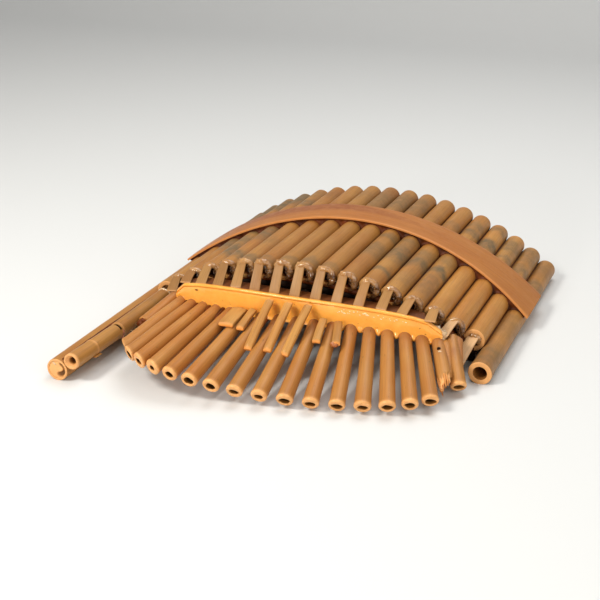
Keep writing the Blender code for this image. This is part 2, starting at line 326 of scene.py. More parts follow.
class Recipe:
    """Builds one node material around its Principled shader."""

    def __init__(self, name):
        self.material = bpy.data.materials.new(name)
        self.material.use_nodes = True
        self.nodes = self.material.node_tree.nodes
        self.links = self.material.node_tree.links
        self.shader = self.nodes["Principled BSDF"]

    def feed(self, socket, value):
        """Links a socket, or sets its value."""
        if isinstance(value, bpy.types.NodeSocket):
            self.links.new(value, socket)
        else:
            socket.default_value = value

    def add(self, kind, output, inputs, **settings):
        """A node of this kind with its settings and inputs; returns the named output socket."""
        made = self.nodes.new("ShaderNode" + kind)
        for key, value in settings.items():
            setattr(made, key, value)
        for key, value in inputs.items():
            self.feed(made.inputs[key], value)
        return made.outputs[output]

    def painted(self, key):
        """A value that skin() has painted on the vertices."""
        return self.add("Attribute", "Fac", {}, attribute_name=key)

    def noise(self, stretch, scale, detail=3.0, rough=0.55):
        """Noise in the piece's own grain, where the second number of stretch is along it."""
        place = self.add("Attribute", "Vector", {}, attribute_name="grain")
        vector = self.add("Mapping", "Vector", {"Vector": place, "Scale": stretch})
        inputs = {"Vector": vector, "Scale": scale, "Detail": detail, "Roughness": rough}
        return self.add("TexNoise", "Fac", inputs)

    def ranged(self, value, low, high, to_low=0.0, to_high=1.0):
        inputs = {"Value": value, "From Min": low, "From Max": high}
        inputs.update({"To Min": to_low, "To Max": to_high})
        return self.add("MapRange", "Result", inputs)

    def times(self, first, second):
        return self.add("Math", "Value", {0: first, 1: second}, operation="MULTIPLY")

    def mix(self, factor, first, second, blend="MIX"):
        """A mix of two colours: a Mix node keeps its colour sockets after its other kinds'."""
        made = self.nodes.new("ShaderNodeMix")
        made.data_type = "RGBA"
        made.blend_type = blend
        for at, value in ((0, factor), (6, first), (7, second)):
            self.feed(made.inputs[at], value)
        return made.outputs[2]

    def bump(self, height, strength, distance):
        inputs = {"Height": height, "Strength": strength, "Distance": distance}
        return self.add("Bump", "Normal", inputs)

    def finish(self, colour, roughness, normal=None, **fixed):
        """Feeds the shader, and sets the sockets named in fixed; returns the material."""
        self.feed(self.shader.inputs["Base Color"], colour)
        self.feed(self.shader.inputs["Roughness"], roughness)
        if normal is not None:
            self.feed(self.shader.inputs["Normal"], normal)
        for key, value in fixed.items():
            self.shader.inputs[key.replace("_", " ")].default_value = value
        return self.material


def cane_material(name, roughness, pale, deep, cut, hollow, stain):
    """Grown cane: fibres along local Y, soft cloudy tone, stains, pale cut ends, and painted shade
    in the bore.

    The colours are red, green and blue out of 255.
    """
    pale, deep, cut, hollow, stain = (srgb(*colour) for colour in (pale, deep, cut, hollow, stain))
    recipe = Recipe(name)
    cloudy = recipe.noise((1, 0.35, 1), 55, 2.0)
    colour = recipe.mix(recipe.ranged(cloudy, 0.3, 0.7), deep, pale)
    fibres = recipe.noise((1, 0.02, 1), 1400, 2.0)
    streak = recipe.ranged(fibres, 0.35, 0.65, 0.90, 1.07)
    tone = recipe.times(streak, recipe.painted("tone"))
    grey = recipe.add("CombineColor", "Color", {"Red": tone, "Green": tone, "Blue": tone})
    colour = recipe.mix(1.0, colour, grey, blend="MULTIPLY")
    blotch = recipe.noise((1, 0.8, 1), 170, 4.0, 0.6)
    stained = recipe.times(recipe.painted("stain"), recipe.ranged(blotch, 0.25, 0.6, 0.35, 1.0))
    colour = recipe.mix(stained, colour, stain)
    freckles = recipe.noise((1, 0.3, 1), 600, 2.0)
    colour = recipe.mix(recipe.ranged(freckles, 0.68, 0.78, 0.0, 0.5), colour, hollow)
    pores = recipe.noise((1, 0.01, 1), 2600, 1.0)
    cut_tone = recipe.mix(recipe.ranged(pores, 0.5, 0.75, 0.0, 0.35), cut, deep)
    colour = recipe.mix(recipe.painted("cut"), colour, cut_tone)
    # inside: the hollow colour as painted shade in the bore.
    colour = recipe.mix(recipe.painted("inside"), colour, hollow)
    # valley: dark brown where pipes meet, brown glue with painted shade, and painted shade in the
    # whistle's window.
    colour = recipe.mix(recipe.painted("valley"), colour, srgb(74, 36, 14))
    height = recipe.add("Math", "Value", {0: fibres, 1: blotch}, operation="ADD")
    normal = recipe.bump(height, 0.35, 0.12 * MM)
    gloss = recipe.ranged(blotch, 0.3, 0.7, roughness - 0.06, roughness + 0.08)
    return recipe.finish(
        colour, gloss, normal, Coat_Weight=0.04, Coat_Roughness=0.3, Specular_IOR_Level=0.36
    )


def resin_material(
    name, pale, deep, roughness, coat, lumps=0.25,
    subsurface=0.0, specular=0.5, dirt=(96, 50, 26), ripple=260,
):
    """Cast resin: cloudy colour, a glossy uneven face, dark specks, and dirt where painted.

    The colours are red, green and blue out of 255.
    """
    pale, deep, dirt = (srgb(*colour) for colour in (pale, deep, dirt))
    recipe = Recipe(name)
    cloudy = recipe.noise((1, 1, 1), 90, 3.0)
    colour = recipe.mix(recipe.ranged(cloudy, 0.35, 0.65), deep, pale)
    specks = recipe.noise((1, 1, 1), 420, 2.0)
    colour = recipe.mix(recipe.ranged(specks, 0.70, 0.76, 0.0, 0.6), colour, srgb(120, 62, 24))
    colour = recipe.mix(recipe.painted("dirt"), colour, dirt)
    ripples = recipe.noise((1, 1, 1), ripple, 2.0)
    normal = recipe.bump(ripples, lumps, 0.5 * MM)
    return recipe.finish(
        colour, roughness, normal, Coat_Weight=coat, Coat_Roughness=0.08,
        Specular_IOR_Level=specular, Subsurface_Weight=subsurface, Subsurface_Scale=0.004,
    )


# hollow is the colour of the freckles, and of the painted shade in the bore.
PIPE_CANE = cane_material(
    "pipe_cane", 0.48, pale=(178, 128, 64), deep=(162, 105, 45),
    cut=(222, 162, 100), hollow=(112, 66, 32), stain=(112, 92, 62),
)
# The tube stain colour is partly a resin tint and partly painted shade at the roots.
TUBE_CANE = cane_material(
    "tube_cane", 0.42, pale=(178, 125, 64), deep=(168, 106, 44),
    cut=(240, 178, 112), hollow=(60, 44, 20), stain=(150, 98, 58),
)
# The band's stain colour is painted shade, for its dark streak.
BAND_STRIP = cane_material(
    "band_strip", 0.45, pale=(178, 114, 50), deep=(168, 102, 40),
    cut=(212, 142, 80), hollow=(100, 54, 22), stain=(142, 78, 30),
)
REED = cane_material(
    "reed", 0.5, pale=(162, 119, 66), deep=(148, 102, 52),
    cut=(196, 148, 98), hollow=(100, 66, 40), stain=(132, 98, 66),
)
PALE_REED = cane_material(
    "pale_reed", 0.45, pale=(206, 166, 122), deep=(184, 144, 100),
    cut=(222, 182, 140), hollow=(120, 86, 56), stain=(150, 120, 88),
)
SPLINT_WOOD = cane_material(
    "splint_wood", 0.5, pale=(196, 144, 76), deep=(168, 114, 54),
    cut=(240, 160, 78), hollow=(100, 60, 26), stain=(132, 98, 58),
)
HEADER_WOOD = cane_material(
    "header_wood", 0.45, pale=(124, 70, 28), deep=(94, 48, 17),
    cut=(126, 76, 42), hollow=(70, 38, 20), stain=(96, 56, 32),
)
AMBER = resin_material("amber_resin", (255, 180, 78), (252, 169, 68), 0.26, 0.3, 0.35, 0.1)
CLEAR_GLUE = resin_material(
    "clear_glue", (186, 138, 82), (156, 108, 58), 0.08, 0.0, lumps=1.5,
    specular=1.0, dirt=(88, 50, 18), ripple=380,
)
BROWN_GLUE = resin_material(
    "brown_glue", (112, 52, 12), (66, 28, 5), 0.5, 0.0, 0.6, specular=0.2
)
# Painted shade: a near-black material for pieces that stand in for shade in gaps, windows and
# pits.
PAINTED_SHADE = resin_material("painted_shade", (34, 17, 8), (16, 9, 5), 0.7, 0.0, 0.2, specular=0.1)
WHITE_GLUE = resin_material("white_glue", (222, 196, 160), (180, 146, 106), 0.2, 0.5, 0.7)
PINK_GLUE = resin_material("pink_glue", (196, 128, 96), (140, 76, 54), 0.25, 0.4, 0.6)
ORANGE_GLUE = resin_material("orange_glue", (190, 116, 58), (156, 88, 40), 0.35, 0.2, 0.6)
# Painted highlight: the pale material of the glints on the resin.
PAINTED_GLINT = resin_material("resin_glint", (255, 236, 196), (255, 222, 160), 0.1, 0.8, 0.0)


# ---------------------------------------------------------------- pan pipes


def pipe_place(index):
    """Centre, mouth and rear of a pan pipe, and its radius, from its CAD node."""
    low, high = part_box(PIPE_NAMES[index])
    radius = (high.x - low.x) / 2 / math.cos(math.pi / CAD_PIPE_SIDES)
    return (low.x + high.x) / 2, (low.z + high.z) / 2, low.y, high.y, radius


PIPES = [pipe_place(index) for index in range(PIPE_COUNT)]

# Grey and green stains on the pipes, as (share of length, half width, strength).
STAINS = {
    1: [(0.60, 0.08, 0.8), (0.90, 0.14, 1.0)],
    2: [(0.50, 0.09, 0.9), (0.90, 0.16, 1.1)],
    3: [(0.32, 0.10, 0.9), (0.50, 0.10, 0.9), (0.92, 0.12, 1.1)],
    4: [(0.18, 0.08, 1.0), (0.31, 0.07, 0.8), (0.43, 0.07, 1.0), (0.92, 0.12, 1.1)],
    5: [(0.08, 0.05, 0.9), (0.38, 0.12, 0.9), (0.80, 0.05, 0.9), (0.92, 0.08, 0.5)],
    6: [(0.02, 0.03, 0.8), (0.22, 0.05, 0.3), (0.90, 0.06, 0.3)],
    7: [(0.02, 0.03, 0.6)],
    8: [(0.03, 0.03, 0.6), (0.88, 0.08, 0.3)],
    9: [(0.03, 0.03, 0.7), (0.82, 0.14, 0.7)],
    10: [(0.02, 0.03, 0.5), (0.84, 0.13, 0.8)],
    11: [(0.27, 0.08, 0.7), (0.43, 0.04, 0.9), (0.84, 0.12, 0.7)],
    12: [(0.11, 0.03, 1.0), (0.31, 0.10, 1.0), (0.44, 0.05, 0.7)],
    13: [(0.28, 0.06, 1.0), (0.38, 0.06, 0.7), (0.12, 0.08, 0.4), (0.76, 0.05, 0.5)],
    14: [
        (0.29, 0.04, 1.2), (0.14, 0.12, 0.6), (0.42, 0.08, 0.6), (0.78, 0.04, 1.0),
        (0.87, 0.05, 0.8),
    ],
    15: [(0.75, 0.06, 1.2), (0.95, 0.04, 0.8)],
    16: [(0.72, 0.05, 0.8), (0.86, 0.10, 0.9)],
    17: [(0.72, 0.07, 0.9), (0.90, 0.12, 0.8)],
    18: [(0.08, 0.11, 0.8), (0.34, 0.12, 0.5), (0.74, 0.05, 0.8), (0.90, 0.08, 0.6)],
}
# Tone of each pipe: it varies from pipe to pipe, with painted light that brightens the right-hand
# pipes and painted shade that darkens the middle ones.
PIPE_TONES_AND_LIGHT = (0.98, 0.95, 0.96, 0.96, 0.98, 1.0, 0.95, 0.93, 0.90, 0.88)
PIPE_TONES_AND_LIGHT += (0.94, 0.92, 0.94, 1.0, 1.03, 1.12, 1.14, 1.12, 1.0)


def pipe_stain(index, grid, length):
    """How stained each point is: ragged bands across the pipe."""
    total = np.zeros(grid.shape[:2])
    ragged = cloud(grid, 120, index + 40) * 0.6 + cloud(grid, 300, index + 80) * 0.35
    share = grid[:, :, 1] / length
    for centre, half, strength in STAINS.get(index, []):
        away = np.abs(share - centre + 0.05 * ragged) / half
        strength = strength if index < 7 else 0.85 * strength
        total = np.maximum(total, strength * smooth(1.35, 0.25, away))
    return total


def pipe_rings(index, length, radius):
    """The rings of a cane with a cut mouth, a node that closes its bore, and a hollow rear."""
    bore = DRONE_BORE if index == 0 else PIPE_BORE
    lip = PIPE_LIP
    foot = 6.0 * MM
    node = 3 * MM if index == 1 else length - 5 * MM
    recess = 1.1 * MM
    wall = 1.9 * MM
    profile = [
        ("inside", [(node, 0.3 * MM), (node, bore * 0.9), (node - 1 * MM, bore), (lip, bore)]),
        ("cut", rounding(0.4 * MM, bore + 0.4 * MM, 0.4 * MM, 270, 180, 3)),
        ("cut", rounding(lip, radius - lip, lip, 180, 120, 3)),
        ("skin", rounding(lip, radius - lip, lip, 105, 90, 1)),
        ("skin", [(foot, radius), (length - lip, radius)]),
        ("cut", rounding(length - lip, radius - lip, lip, 75, 0, 4)),
        ("cut", [(length, radius - wall), (length - recess, radius - wall - 0.3 * MM)]),
        ("cut", [(length - recess * 0.8, 0.3 * MM)]),
    ]
    return rings(profile, PIPE_RING_SPACING)


def valley_glue_and_shade(index, grid, angle, y):
    """How much brown glue, with painted shade, covers a pipe's sides where they meet its
    neighbours.
    """
    x, z, mouth, _, _ = PIPES[index]
    lean = math.atan2(x, z + LEAN_CENTRE)
    facing = np.abs(np.angle(np.exp(1j * (angle - lean))))
    valley = smooth(math.radians(66), math.radians(84), facing)
    valley = valley * smooth(math.radians(130), math.radians(100), facing)
    reach = smooth(2 * MM, 7 * MM, y)
    if index in (0, PIPE_COUNT - 1):
        inner = math.pi / 2 if index == 0 else -math.pi / 2
        valley = valley * (np.cos(angle - lean - inner) > 0)
        beside = PIPES[1 if index == 0 else -2][2] - mouth
        reach = smooth(beside, beside + 6 * MM, y)
    edge = smooth(0.42, 0.62, 0.5 + 0.5 * cloud(grid, 160, index + 5)) * 0.3
    return valley[None, :] * reach[:, None] * (0.75 + edge)


def add_pan_pipe(index):
    """A pan pipe, flattened where it stands on the floor."""
    x, z, mouth, back, radius = PIPES[index]
    length = back - mouth
    y, r, cut, inside = pipe_rings(index, length, radius)
    grid, angle = turned(y, r, PIPE_SIDES)
    outside = (r > radius - PIPE_LIP * 1.2).astype(float)[:, None]
    if 2 <= index < PIPE_COUNT - 2:
        cut = cut * (y > length / 2)
    # The painted shade in the bore is paler in the second pipe and in the last one.
    if index == 1:
        inside = inside * 0.3
    if index == PIPE_COUNT - 1:
        inside = inside * 0.4
        widen(grid, (1 + LAST_PIPE_FLARE / radius * smooth(14 * MM, 2 * MM, y))[:, None])
    roughen(grid, r, index + 1)
    grid[:, :, 2] = np.maximum(grid[:, :, 2], -z)
    name = PIPE_NAMES[index]
    skin(
        name + "_cane", grid, PIPE_CANE, "pipe_bamboo",
        matrix=Matrix.Translation((x, mouth, z)), replaces=(name,),
        cut=cut[:, None], inside=inside[:, None],
        # valley: brown glue with painted shade where the pipes meet.
        valley=valley_glue_and_shade(index, grid, angle, y) * outside,
        stain=pipe_stain(index, grid, length) * outside,
        tone=PIPE_TONES_AND_LIGHT[index], seed=index + 1.0,
    )


def add_pipe_seam(index):
    """The line of brown glue in the valley between a pipe and the next one."""
    x, z, mouth, back, _ = PIPES[index]
    next_x, next_z, next_mouth, next_back, _ = PIPES[index + 1]
    start = max(mouth, next_mouth) + 1.5 * MM
    end = min(back, next_back) - 2 * MM
    depths = np.linspace(start, end, SEAM_POINTS)
    line = np.array([((x + next_x) / 2, y, (z + next_z) / 2) for y in depths])
    up = np.array([-(next_z - z), 0, next_x - x])
    up /= np.linalg.norm(up)
    line = line + up * (0.35 * MM * cloud(line, 90, index + 3))[:, None]
    radii = (1.55 + 0.25 * cloud(line, 140, index + 9)) * MM * tapered(len(line), -1, 3)
    name = f"pipe_seam_{index + 1:02d}"
    strand(name, line, radii, BROWN_GLUE, bumps=0.2 * MM, seed=index)


for pipe_index in range(PIPE_COUNT):
    add_pan_pipe(pipe_index)
for pipe_index in range(PIPE_COUNT - 1):
    add_pipe_seam(pipe_index)


def dug_crescent(grid):
    """How far into the plug's crescent windway each point of its face lies, from 0 to 1."""
    along = np.linspace(0, 1, 25)
    turn = np.radians(np.interp(along, (0, 0.4, 1), (50, 15, -58)))
    out = np.interp(along, (0, 0.4, 1), (5.7, 5.3, 3.9)) * MM
    half = np.interp(along, (0, 0.4, 1), (1.7, 0.6, 2.2)) * MM
    aside = grid[:, :, 0, None] - out * np.cos(turn)
    above = grid[:, :, 2, None] - out * np.sin(turn)
    return smooth(1.2, 0.4, (np.hypot(aside, above) / half).min(axis=2))


def add_drone_plug():
    """The drone's plug: a round stopper with a crescent windway dug into its right side, painted
    shade in the crescent, and a whitish bead as a painted highlight on its face.
    """
    x, z, _, _, _ = PIPES[0]
    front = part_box("drone_plug")[0].y
    angle = np.arange(PIPE_SIDES) / PIPE_SIDES * math.tau
    limit = DRONE_BORE + 0.25 * MM
    face = 22
    shares = np.concatenate([np.linspace(0.04, 0.96, face), np.ones(6)])
    depth = np.concatenate([0.3 * np.linspace(0, 1, face) ** 2.5, np.linspace(0.4, 11, 6)])
    grid = np.empty((len(shares), PIPE_SIDES, 3))
    reach = np.broadcast_to(shares[:, None] * limit, grid.shape[:2])
    grid[:, :, 0] = reach * np.cos(angle)
    grid[:, :, 1] = (depth[:, None] - 0.4) * MM
    grid[:, :, 2] = reach * np.sin(angle)
    dug = dug_crescent(grid)
    dug[face:] = 0
    grid[:, :, 1] += 2.4 * MM * dug
    grid[:, :, 1] += 0.2 * MM * cloud(grid, 260, 4)
    # inside paints shade into the dug crescent.
    skin(
        "drone_plug_stopper", grid, TUBE_CANE, "tongue_reed",
        matrix=Matrix.Translation((x, front, z)), replaces=("drone_plug",),
        cut=0.85 * (1 - dug), inside=0.6 * dug, tone=1.0, seed=3.0,
    )
    # A whitish bead on the plug's face: a painted highlight.
    line = [(x + at * MM, front - 0.1 * MM, z + (3.4 - 0.6 * at) * MM) for at in (-3, -2, -1, 0)]
    radii = [0.4 * MM, 0.8 * MM, 0.7 * MM, 0.3 * MM]
    strand("drone_plug_glint", line, radii, WHITE_GLUE, bumps=0.2 * MM, seed=12)


add_drone_plug()


# ---------------------------------------------------------------- blow tubes


TUBE_NAMES = [f"blow_tube_{number:02d}" for number in range(1, TUBE_COUNT + 1)]
TUBES = [cane_line(node) for node in TUBE_NAMES]

# Half widths and half heights of the bores at the mouths, in millimetres.
BORES = (
    (2.2, 2.0), (0.8, 0.8), (3.1, 3.0), (2.9, 2.3), (2.1, 2.0), (3.0, 2.6), (3.3, 3.0),
    (3.1, 2.8), (3.0, 2.2), (3.0, 2.1), (3.7, 2.5), (3.4, 2.3), (3.6, 2.5), (3.3, 2.2),
    (3.7, 2.5), (3.5, 2.7), (3.4, 2.7), (2.4, 2.0), (3.5, 2.9),
)
# How far the cuts turn away from square, to the left and down, and how far they are moved.
SLANTS = {
    1: (1.2, 0.7, -3.2), 2: (0.75, 0.4, -0.6), 3: (0.6, 0.3, -0.2), 4: (0.42, 0.25, 0.2),
    5: (0.2, 0.25, 0.4),
}
USUAL_SLANT = (0.0, 0.25, 0.6)


def splinter(grid, y, angle):
    """Breaks the front end off in long splinters, and crushes it."""
    held = smooth(20 * MM, 2 * MM, y)[:, None]
    slope = 4.0 * MM * (1 - np.cos(angle + 1.7))
    slivers = np.abs(np.sin(6.5 * angle + 0.4)) ** 3 + 0.5 * np.abs(np.sin(11 * angle)) ** 4
    grid[:, :, 1] += held * (slope + 2.6 * MM * slivers)
    widen(grid, 1 - 0.30 * held * held)


def shape_bore(index, grid, y, r):
    """Makes a blow tube's bore oval and uneven at its mouth, and lowers it a little."""
    near_bore = (smooth(4.9 * MM, 3.4 * MM, r) * smooth(12 * MM, 3 * MM, y))[:, None]
    wide, high = np.array(BORES[index]) * MM / TUBE_BORE - 1
    grid[:, :, 0] *= 1 + near_bore * wide
    grid[:, :, 2] *= 1 + near_bore * high
    grid[:, :, 2] -= 0.4 * MM * near_bore
    widen(grid, 1 + 0.22 * near_bore * cloud(grid, 380, index + 60))


def add_blow_tube(index):
    """A cane with a rounded mouth and an uneven bore, thinner toward its root in the resin."""
    start, end = TUBES[index]
    length = (end - start).length
    straight = length - TUBE_TAIL
    rounded = 1.6 * MM
    profile = [
        ("inside", [(length, TUBE_BORE), (1.2 * MM, TUBE_BORE)]),
        ("cut", rounding(0.8 * MM, TUBE_BORE + 0.5 * MM, 0.5 * MM, 260, 190, 4)),
        ("cut", rounding(rounded, TUBE_TIP_RADIUS - rounded, rounded, 170, 90, 6)),
        ("skin", [(2.8 * MM, TUBE_TIP_RADIUS), (4.6 * MM, TUBE_TIP_RADIUS - 0.25 * MM)]),
        ("skin", [(straight, TUBE_ROOT_RADIUS), (length, TUBE_ROOT_RADIUS)]),
    ]
    y, r, cut, inside = rings(profile, CANE_RING_SPACING)
    grid, angle = turned(y, r, TUBE_SIDES)
    shape_bore(index, grid, y, r)
    roughen(grid, r, index + 30, oval=0.015, lumps=0.14 * MM, scale=110)
    outside = 1 - inside
    cut = np.maximum(cut, smooth(3.4 * MM, 1.6 * MM, y) * outside)[:, None]
    cut = cut * (0.8 + 0.35 * cloud(grid, 400, index))
    turned_left, turned_down, moved = SLANTS.get(index, USUAL_SLANT)
    held = smooth(26 * MM, 2 * MM, y)[:, None]
    shear = moved * MM - turned_left * grid[:, :, 0] - turned_down * grid[:, :, 2]
    grid[:, :, 1] += held * shear
    if index == SPLINTERED_TUBE:
        splinter(grid, y, angle)
        cut = np.broadcast_to((smooth(9 * MM, 4 * MM, y) * outside)[:, None], grid.shape[:2])
    if index < 2:
        cut = cut * 0.35 * index
    # Darker toward the root, in patches: partly a resin tint, partly painted shade under the
    # splints and the bar.
    patchy = 0.6 + 0.6 * cloud(grid, 150, index + 11)
    stain = smooth(straight - 26 * MM, straight, y)[:, None] * patchy
    # inside paints shade in the bore, darker further in.
    name = TUBE_NAMES[index]
    skin(
        name + "_cane", grid, TUBE_CANE, "tube_bamboo",
        matrix=aimed(start, end), looped=True, replaces=(name,),
        cut=cut, inside=(inside * smooth(0.5 * MM, 4.5 * MM, y))[:, None],
        stain=stain * outside[:, None],
        tone=1.0 + 0.03 * math.sin(2.3 * index) + 0.07 * (index < 7), seed=index + 31.0,
    )


for tube_index in range(TUBE_COUNT):
    add_blow_tube(tube_index)


# ---------------------------------------------------------------- the two bars


def struck(tree, start, way):
    """Where a ray from start meets the tree's faces, or None."""
    return tree.ray_cast(Vector(start), Vector(way))[0]


def outline(node, count):
    """Arrays of x, front, back, top and bottom along a bar that runs from left to right."""
    tree = surface_tree(node)
    low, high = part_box(node)
    heights = np.arange(low.z - MM, high.z + MM, 0.4 * MM)
    found = []
    for x in np.linspace(low.x + 0.3 * MM, high.x - 0.3 * MM, count):
        hits = [struck(tree, (x, low.y - MM, z), (0, 1, 0)) for z in heights]
        near = [hit.y for hit in hits if hit]
        hits = [struck(tree, (x, high.y + MM, z), (0, -1, 0)) for z in heights]
        far = [hit.y for hit in hits if hit]
        if not near or not far:
            continue
        middle = (min(near) + max(far)) / 2
        top = struck(tree, (x, middle, high.z + MM), (0, 0, -1))
        bottom = struck(tree, (x, middle, low.z - MM), (0, 0, 1))
        if top and bottom:
            found.append((x, min(near), max(far), top.z, bottom.z))
    return np.array(found).T


def tube_crest(x, y):
    """How high the fan of tubes reaches at this x and y, and how high the valley floor is."""
    crest = -1.0
    level = []
    for line in TUBES:
        centre = at_depth(line, y)
        aside = abs(x - centre.x)
        level.append((aside, centre.z))
        radius = TUBE_ROOT_RADIUS * 1.03
        if aside < radius:
            crest = max(crest, centre.z + math.sqrt(radius**2 - aside**2))
    level.sort()
    (near, near_z), (far, far_z) = level[:2]
    axis_z = (near_z * far + far_z * near) / (near + far)
    return crest, axis_z


def scalloped(xs, fronts, tooth):
    """The resin's lower edge: over each tube, and down into each valley."""
    edge = []
    for x, y in zip(xs, fronts):
        crest, axis_z = tube_crest(x, y)
        edge.append(max(crest - 1.5 * MM, axis_z + tooth))
    kernel = np.hanning(7)
    kernel /= kernel.sum()
    padded = np.pad(edge, 3, mode="edge")
    return np.convolve(padded, kernel, mode="valid")


def resin_section(thick, high, low):
    """The resin bar's outline as (depth, height): its back, rim, swelling face and lower edge."""
    rim = 1.15 * MM
    points = [(thick, low), (thick, high - 0.9 * MM), (2.6 * MM, high - 0.2 * MM)]
    points += rounding(0.5 * MM, high - rim, rim, 80, 195, 8)
    points += [(-0.15 * MM, high - 2.1 * MM), (0.25 * MM, high - 2.6 * MM)]
    face = (high - 2.9 * MM, low + 1.4 * MM)
    for share in np.linspace(0, 1, 9):
        swell = -0.35 * MM * math.sin(share * math.pi)
        points.append((0.15 * MM + swell, face[0] + (face[1] - face[0]) * share))
    for ahead, above in ((-0.35, 0.8), (-0.55, 0.2), (-0.3, -0.2), (0.4, -0.25), (1.6, -0.1)):
        points.append((ahead * MM, low + above * MM))
    return points


def add_resin_bar():
    """The cast face: a raised rim along its top and ends, and teeth between the tubes."""
    x, front, back, top, _ = outline("resin_bar", 420)
    edge = scalloped(x, front, -0.3 * MM)
    edge = np.minimum(edge, top - 2.2 * MM)
    sections = []
    for at in range(len(x)):
        points = resin_section(back[at] - front[at], top[at] + 0.1 * MM, edge[at])
        sections.append([(x[at], front[at] + depth, z) for depth, z in points])
    grid = np.array(sections)
    middle = grid.mean(axis=1, keepdims=True)
    ends = np.minimum(x - x[0], x[-1] - x)
    shrink = np.sqrt(smooth(-0.3 * MM, 2.2 * MM, ends))
    grid = middle + (grid - middle) * shrink[:, None, None]
    uneven = 0.16 * MM * cloud(grid, 150, 7) + 0.05 * MM * cloud(grid, 600, 8)
    grid += np.array([0, -1, 0.2]) * uneven[:, :, None]
    skin("resin_face", grid, AMBER, "cast_resin", replaces=("resin_bar",), seed=1.0, dirt=0.0)


def add_header_bar():
    """The wooden bar behind the resin, whose top carries the tongues' feet."""
    x, front, back, top, bottom = outline("header_bar", 150)
    sections = []
    size = 0.7 * MM
    for at in range(len(x)):
        points = []
        corners = (
            (back[at] - size, bottom[at] + size, -90, 0),
            (back[at] - size, top[at] - size, 0, 90),
            (front[at] + size, top[at] - size, 90, 180),
            (front[at] + size, bottom[at] + size, 180, 270),
        )
        for y, z, first, last in corners:
            points += rounding(y, z, size, first, last)
        sections.append([(x[at], y, z) for y, z in points])
    grid = np.array(sections)
    grid[:, :, 2] += 0.12 * MM * cloud(grid, 170, 21)
    grid[:, :, 1] += 0.10 * MM * cloud(grid, 210, 22)
    skin(
        "header_wood_bar", grid, HEADER_WOOD, "header_wood",
        grain=grid[:, :, [1, 0, 2]], replaces=("header_bar",),
    )


add_resin_bar()
add_header_bar()

# The first valleys between tubes hold brown glue, and those from the second number on amber resin.
BROWN_VALLEYS = 6
AMBER_VALLEYS = 11
BAR_X, BAR_FRONT = outline("resin_bar", 60)[:2]


def add_valley_fillet(index):
    """Resin that has run forward from the bar into the valley between two tubes."""
    left, right = TUBES[index], TUBES[index + 1]
    front = float(np.interp((left[1].x + right[1].x) / 2, BAR_X, BAR_FRONT))
    brown = index < BROWN_VALLEYS
    reach = (12 + 4 * math.sin(1.9 * index)) * MM if brown else (0.9 + 0.3 * (index % 3)) * MM
    points = []
    radii = []
    for share in np.linspace(0, 1, 16):
        y = front + 2 * MM - (reach + 2 * MM) * share
        middle = (at_depth(left, y) + at_depth(right, y)) / 2
        gap = (at_depth(right, y) - at_depth(left, y)).length
        points.append((middle.x, y, middle.z + (1.2 - 1.2 * share) * MM))
        wide = max(gap / 2 - TUBE_ROOT_RADIUS + 1.1 * MM, 0.7 * MM)
        radii.append(wide * math.sqrt(1.02 - share**3) * (0.9 - 0.3 * share))
    material = BROWN_GLUE if brown else AMBER
    name = f"valley_fillet_{index + 1:02d}"
    strand(name, points, radii, material, bumps=0.3 * MM, seed=index + 3)


for valley_index in [*range(BROWN_VALLEYS), *range(AMBER_VALLEYS, TUBE_COUNT - 1)]:
    add_valley_fillet(valley_index)


# ---------------------------------------------------------------- tongues and mouth glue


TONGUE_TONES = {3: 0.95, 6: 0.84, 12: 1.05, 13: 1.05, 15: 1.1, 16: 1.2, 17: 1.08, 18: 1.14}
# How far the last tongues stand to the right of their pipes' middles, in millimetres.
TONGUE_SHIFTS = {13: 0.6, 14: 1.5, 15: 1.8, 16: 2.9, 17: 2.4}
# The tongues from this number on are of paler reed.
PALE_TONGUES = 17


def tongue_ends(number):
    """The under-side middles of a tongue's foot and top, and its widths there."""
    points = frame_points(f"air_tongue_{number:02d}")
    order = points[:, 1].argsort()
    ends = [points[order[:4]], points[order[4:]]]
    widths = [np.ptp(end[:, 0]) for end in ends]
    foot, top = (Vector(end[end[:, 2].argsort()[:2]].mean(axis=0)) for end in ends)
    return foot, top, widths


def add_tongue(number):
    """A thin reed that reaches up over the pipe's lip, and down to the resin's rim."""
    foot, top, widths = tongue_ends(number)
    along = (top - foot).normalized()
    node = f"air_tongue_{number:02d}"
    widths = (widths[0] + 0.7 * MM, widths[1] + 0.8 * MM)
    lower = 4.2 * MM if number < 7 or number > 14 else 2.0 * MM
    higher = 2.0 * MM
    if number == LAST_TONGUE:
        foot.x += 0.6 * MM
        top.x += 1.5 * MM
        widths = (9.6 * MM, 8.0 * MM)
        higher = 1.3 * MM
    aside = Vector((TONGUE_SHIFTS.get(number, 0.0) * MM, 0, 0))
    slab(
        node + "_reed", foot + aside - along * lower, top + aside + along * higher, widths,
        (1.3 * MM, 1.2 * MM), REED if number < PALE_TONGUES else PALE_REED, "tongue_reed",
        bend=0.4 * MM, seed=number, replaces=(node,), tone=TONGUE_TONES.get(number, 1.0),
    )


def mouth_arc(number, first, last, count, reach, ahead):
    """An arc round a pipe's mouth, this far ahead of it."""
    x, z, mouth, _, _ = PIPES[number - 1]
    return arc((x, mouth - ahead, z), reach, first, last, count)


